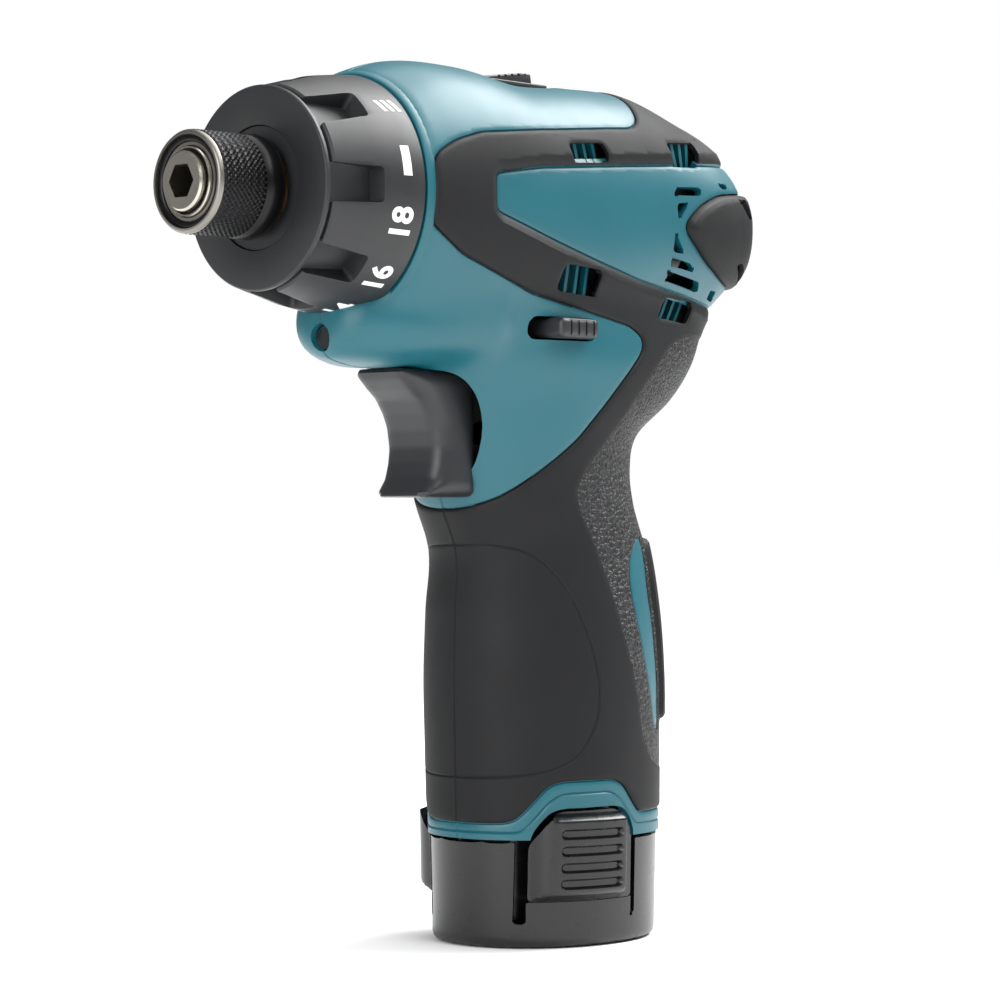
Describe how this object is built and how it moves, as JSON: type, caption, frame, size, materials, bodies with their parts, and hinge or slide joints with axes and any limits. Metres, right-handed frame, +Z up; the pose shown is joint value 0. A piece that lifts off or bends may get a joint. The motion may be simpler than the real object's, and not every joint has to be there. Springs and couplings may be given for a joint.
{
  "type": "cordless drill",
  "caption": "Pistol-grip cordless driver drill with a clutch dial, hex bit sleeve, variable trigger and plug-in battery.",
  "frame": {"origin": "centre of the battery's bottom face, on which the tool stands", "axes": "+X towards the nose along the spindle, +Y to the tool's left, +Z up"},
  "size_m": [0.1525, 0.0535, 0.1846],
  "materials": {
    "teal_shell": "satin moulded nylon",
    "soft_rubber": "matt soft overmould",
    "black_nylon": "moulded glass filled nylon",
    "dark_plastic": "satin moulded",
    "battery_plastic": "semi gloss moulded",
    "bright_steel": "turned",
    "black_steel": "black oxide, knurled",
    "gear_steel": "sintered",
    "spring_steel": "oiled wire",
    "zinc_screw": "zinc plated",
    "motor_steel": "drawn, plated",
    "magnet_ferrite": "sintered",
    "copper": "enamelled winding",
    "bronze": "sintered bush",
    "carbon": "pressed carbon",
    "cell_wrap": "shrink sleeve",
    "contact_brass": "tinned contact",
    "board_green": "printed board",
    "lamp_lens": "clear moulded",
    "lead_sleeve": "insulated lead"
  },
  "bodies": {
    "housing": {"housing_left": "teal_shell", "housing_right": "teal_shell", "grip_rubber_left": "soft_rubber", "grip_rubber_right": "soft_rubber", "housing_screws": "zinc_screw", "gear_case": "black_nylon", "motor_plate": "motor_steel", "motor_can": "motor_steel", "motor_magnets": "magnet_ferrite", "motor_end_cap": "black_nylon", "motor_bushings": "bronze", "motor_brushes": "carbon", "ring_gear_first": "gear_steel", "ring_gear_third": "gear_steel", "clutch_pins": "bright_steel", "clutch_spring": "spring_steel", "spindle_bearings": "bronze", "switch_case": "dark_plastic", "led_lens": "lamp_lens", "led_board": "board_green", "motor_leads": "lead_sleeve", "terminal_block": "dark_plastic"},
    "rotor": {"motor_shaft": "bright_steel", "rotor_core": "gear_steel", "rotor_windings": "copper", "commutator": "copper", "motor_fan": "black_nylon", "motor_pinion": "gear_steel"},
    "first_carrier": {"carrier_first": "gear_steel"},
    "second_carrier": {"carrier_second": "gear_steel"},
    "output_spindle": {"spindle": "bright_steel", "carrier_third": "gear_steel", "retaining_clip": "black_steel", "sleeve_washer": "gear_steel", "sleeve_spring": "spring_steel"},
    "sleeve": {"bit_sleeve": "black_steel"},
    "upper_ball": {"bit_ball_upper": "bright_steel"},
    "lower_ball": {"bit_ball_lower": "bright_steel"},
    "clutch_dial": {"clutch_ring": "black_nylon"},
    "spring_seat": {"clutch_spring_seat": "gear_steel"},
    "speed_selector": {"speed_knob": "dark_plastic", "shift_wire": "spring_steel", "ring_gear_second": "gear_steel"},
    "trigger": {"trigger": "dark_plastic"},
    "direction_lever": {"direction_lever": "dark_plastic"},
    "battery": {"battery_base": "battery_plastic", "battery_stalk": "battery_plastic", "battery_cells": "cell_wrap", "battery_contacts": "contact_brass"},
    "left_latch": {"latch_left": "battery_plastic"},
    "right_latch": {"latch_right": "battery_plastic"},
    "planet_first_1": {"planet_first_1": "gear_steel"},
    "planet_first_2": {"planet_first_2": "gear_steel"},
    "planet_first_3": {"planet_first_3": "gear_steel"},
    "planet_second_1": {"planet_second_1": "gear_steel"},
    "planet_second_2": {"planet_second_2": "gear_steel"},
    "planet_second_3": {"planet_second_3": "gear_steel"},
    "planet_third_1": {"planet_third_1": "gear_steel"},
    "planet_third_2": {"planet_third_2": "gear_steel"},
    "planet_third_3": {"planet_third_3": "gear_steel"}
  },
  "joints": [
    {"name": "rotor_spin", "type": "hinge", "parent": "housing", "child": "rotor", "pos_m": [0, 0, 0.1555], "axis": [1, 0, 0], "continuous": true},
    {"name": "first_carrier_spin", "type": "hinge", "parent": "housing", "child": "first_carrier", "pos_m": [0.024, 0, 0.1555], "axis": [1, 0, 0], "continuous": true},
    {"name": "second_carrier_spin", "type": "hinge", "parent": "housing", "child": "second_carrier", "pos_m": [0.036, 0, 0.1555], "axis": [1, 0, 0], "continuous": true},
    {"name": "spindle_spin", "type": "hinge", "parent": "housing", "child": "output_spindle", "pos_m": [0.07, 0, 0.1555], "axis": [1, 0, 0], "continuous": true},
    {"name": "sleeve_slide", "type": "slide", "parent": "output_spindle", "child": "sleeve", "axis": [1, 0, 0], "range_m": [0, 0.004], "stiffness_N_per_m": 1200, "springref_m": -0.002, "deforming": ["sleeve_spring"]},
    {"name": "upper_ball_slide", "type": "slide", "parent": "output_spindle", "child": "upper_ball", "axis": [0, 0, 1], "range_m": [0, 0.0008]},
    {"name": "lower_ball_slide", "type": "slide", "parent": "output_spindle", "child": "lower_ball", "axis": [0, 0, -1], "range_m": [0, 0.0008]},
    {"name": "clutch_dial_turn", "type": "hinge", "parent": "housing", "child": "clutch_dial", "pos_m": [0.07, 0, 0.1555], "axis": [1, 0, 0], "range_deg": [-313, 34]},
    {"name": "spring_seat_slide", "type": "slide", "parent": "clutch_dial", "child": "spring_seat", "axis": [1, 0, 0], "range_m": [-0.0032, 0.0004], "deforming": ["clutch_spring"]},
    {"name": "speed_knob_slide", "type": "slide", "parent": "housing", "child": "speed_selector", "axis": [1, 0, 0], "range_m": [-0.0045, 0]},
    {"name": "trigger_pull", "type": "slide", "parent": "housing", "child": "trigger", "axis": [-1, 0, 0], "range_m": [0, 0.0065], "stiffness_N_per_m": 1500, "springref_m": -0.002},
    {"name": "direction_lever_slide", "type": "slide", "parent": "housing", "child": "direction_lever", "axis": [0, 1, 0], "range_m": [-0.0049, 0]},
    {"name": "battery_slide", "type": "slide", "parent": "housing", "child": "battery", "axis": [0, 0, 1], "range_m": [-0.08, 0]},
    {"name": "left_latch_press", "type": "hinge", "parent": "battery", "child": "left_latch", "pos_m": [0.007, 0.021, 0.0088], "axis": [1, 0, 0], "range_deg": [0, 3.5], "stiffness_Nm_per_rad": 3, "springref_deg": -1.15},
    {"name": "right_latch_press", "type": "hinge", "parent": "battery", "child": "right_latch", "pos_m": [0.007, -0.021, 0.0088], "axis": [-1, 0, 0], "range_deg": [0, 3.5], "stiffness_Nm_per_rad": 3, "springref_deg": -1.15},
    {"name": "planet_first_1_spin", "type": "hinge", "parent": "first_carrier", "child": "planet_first_1", "pos_m": [0.02, 0, 0.16623], "axis": [1, 0, 0], "continuous": true},
    {"name": "planet_first_2_spin", "type": "hinge", "parent": "first_carrier", "child": "planet_first_2", "pos_m": [0.02, -0.00929, 0.15014], "axis": [1, 0, 0], "continuous": true},
    {"name": "planet_first_3_spin", "type": "hinge", "parent": "first_carrier", "child": "planet_first_3", "pos_m": [0.02, 0.00929, 0.15014], "axis": [1, 0, 0], "continuous": true},
    {"name": "planet_second_1_spin", "type": "hinge", "parent": "second_carrier", "child": "planet_second_1", "pos_m": [0.032, 0, 0.16623], "axis": [1, 0, 0], "continuous": true},
    {"name": "planet_second_2_spin", "type": "hinge", "parent": "second_carrier", "child": "planet_second_2", "pos_m": [0.032, -0.00929, 0.15014], "axis": [1, 0, 0], "continuous": true},
    {"name": "planet_second_3_spin", "type": "hinge", "parent": "second_carrier", "child": "planet_second_3", "pos_m": [0.032, 0.00929, 0.15014], "axis": [1, 0, 0], "continuous": true},
    {"name": "planet_third_1_spin", "type": "hinge", "parent": "output_spindle", "child": "planet_third_1", "pos_m": [0.043, 0, 0.16623], "axis": [1, 0, 0], "continuous": true},
    {"name": "planet_third_2_spin", "type": "hinge", "parent": "output_spindle", "child": "planet_third_2", "pos_m": [0.043, -0.00929, 0.15014], "axis": [1, 0, 0], "continuous": true},
    {"name": "planet_third_3_spin", "type": "hinge", "parent": "output_spindle", "child": "planet_third_3", "pos_m": [0.043, 0.00929, 0.15014], "axis": [1, 0, 0], "continuous": true}
  ],
  "couplings": [
    {"joint": "first_carrier_spin", "follows": "rotor_spin", "ratio": 0.26923},
    {"joint": "second_carrier_spin", "follows": "rotor_spin", "ratio": 0.072485},
    {"joint": "spindle_spin", "follows": "rotor_spin", "ratio": 0.019515},
    {"joint": "upper_ball_slide", "follows": "sleeve_slide", "ratio": 0.2},
    {"joint": "lower_ball_slide", "follows": "sleeve_slide", "ratio": 0.2},
    {"joint": "spring_seat_slide", "follows": "clutch_dial_turn", "m_per_rad": 0.00055},
    {"joint": "planet_first_1_spin", "follows": "rotor_spin", "ratio": -0.85256},
    {"joint": "planet_first_2_spin", "follows": "rotor_spin", "ratio": -0.85256},
    {"joint": "planet_first_3_spin", "follows": "rotor_spin", "ratio": -0.85256},
    {"joint": "planet_second_1_spin", "follows": "rotor_spin", "ratio": -0.22954},
    {"joint": "planet_second_2_spin", "follows": "rotor_spin", "ratio": -0.22954},
    {"joint": "planet_second_3_spin", "follows": "rotor_spin", "ratio": -0.22954},
    {"joint": "planet_third_1_spin", "follows": "rotor_spin", "ratio": -0.061798},
    {"joint": "planet_third_2_spin", "follows": "rotor_spin", "ratio": -0.061798},
    {"joint": "planet_third_3_spin", "follows": "rotor_spin", "ratio": -0.061798}
  ]
}
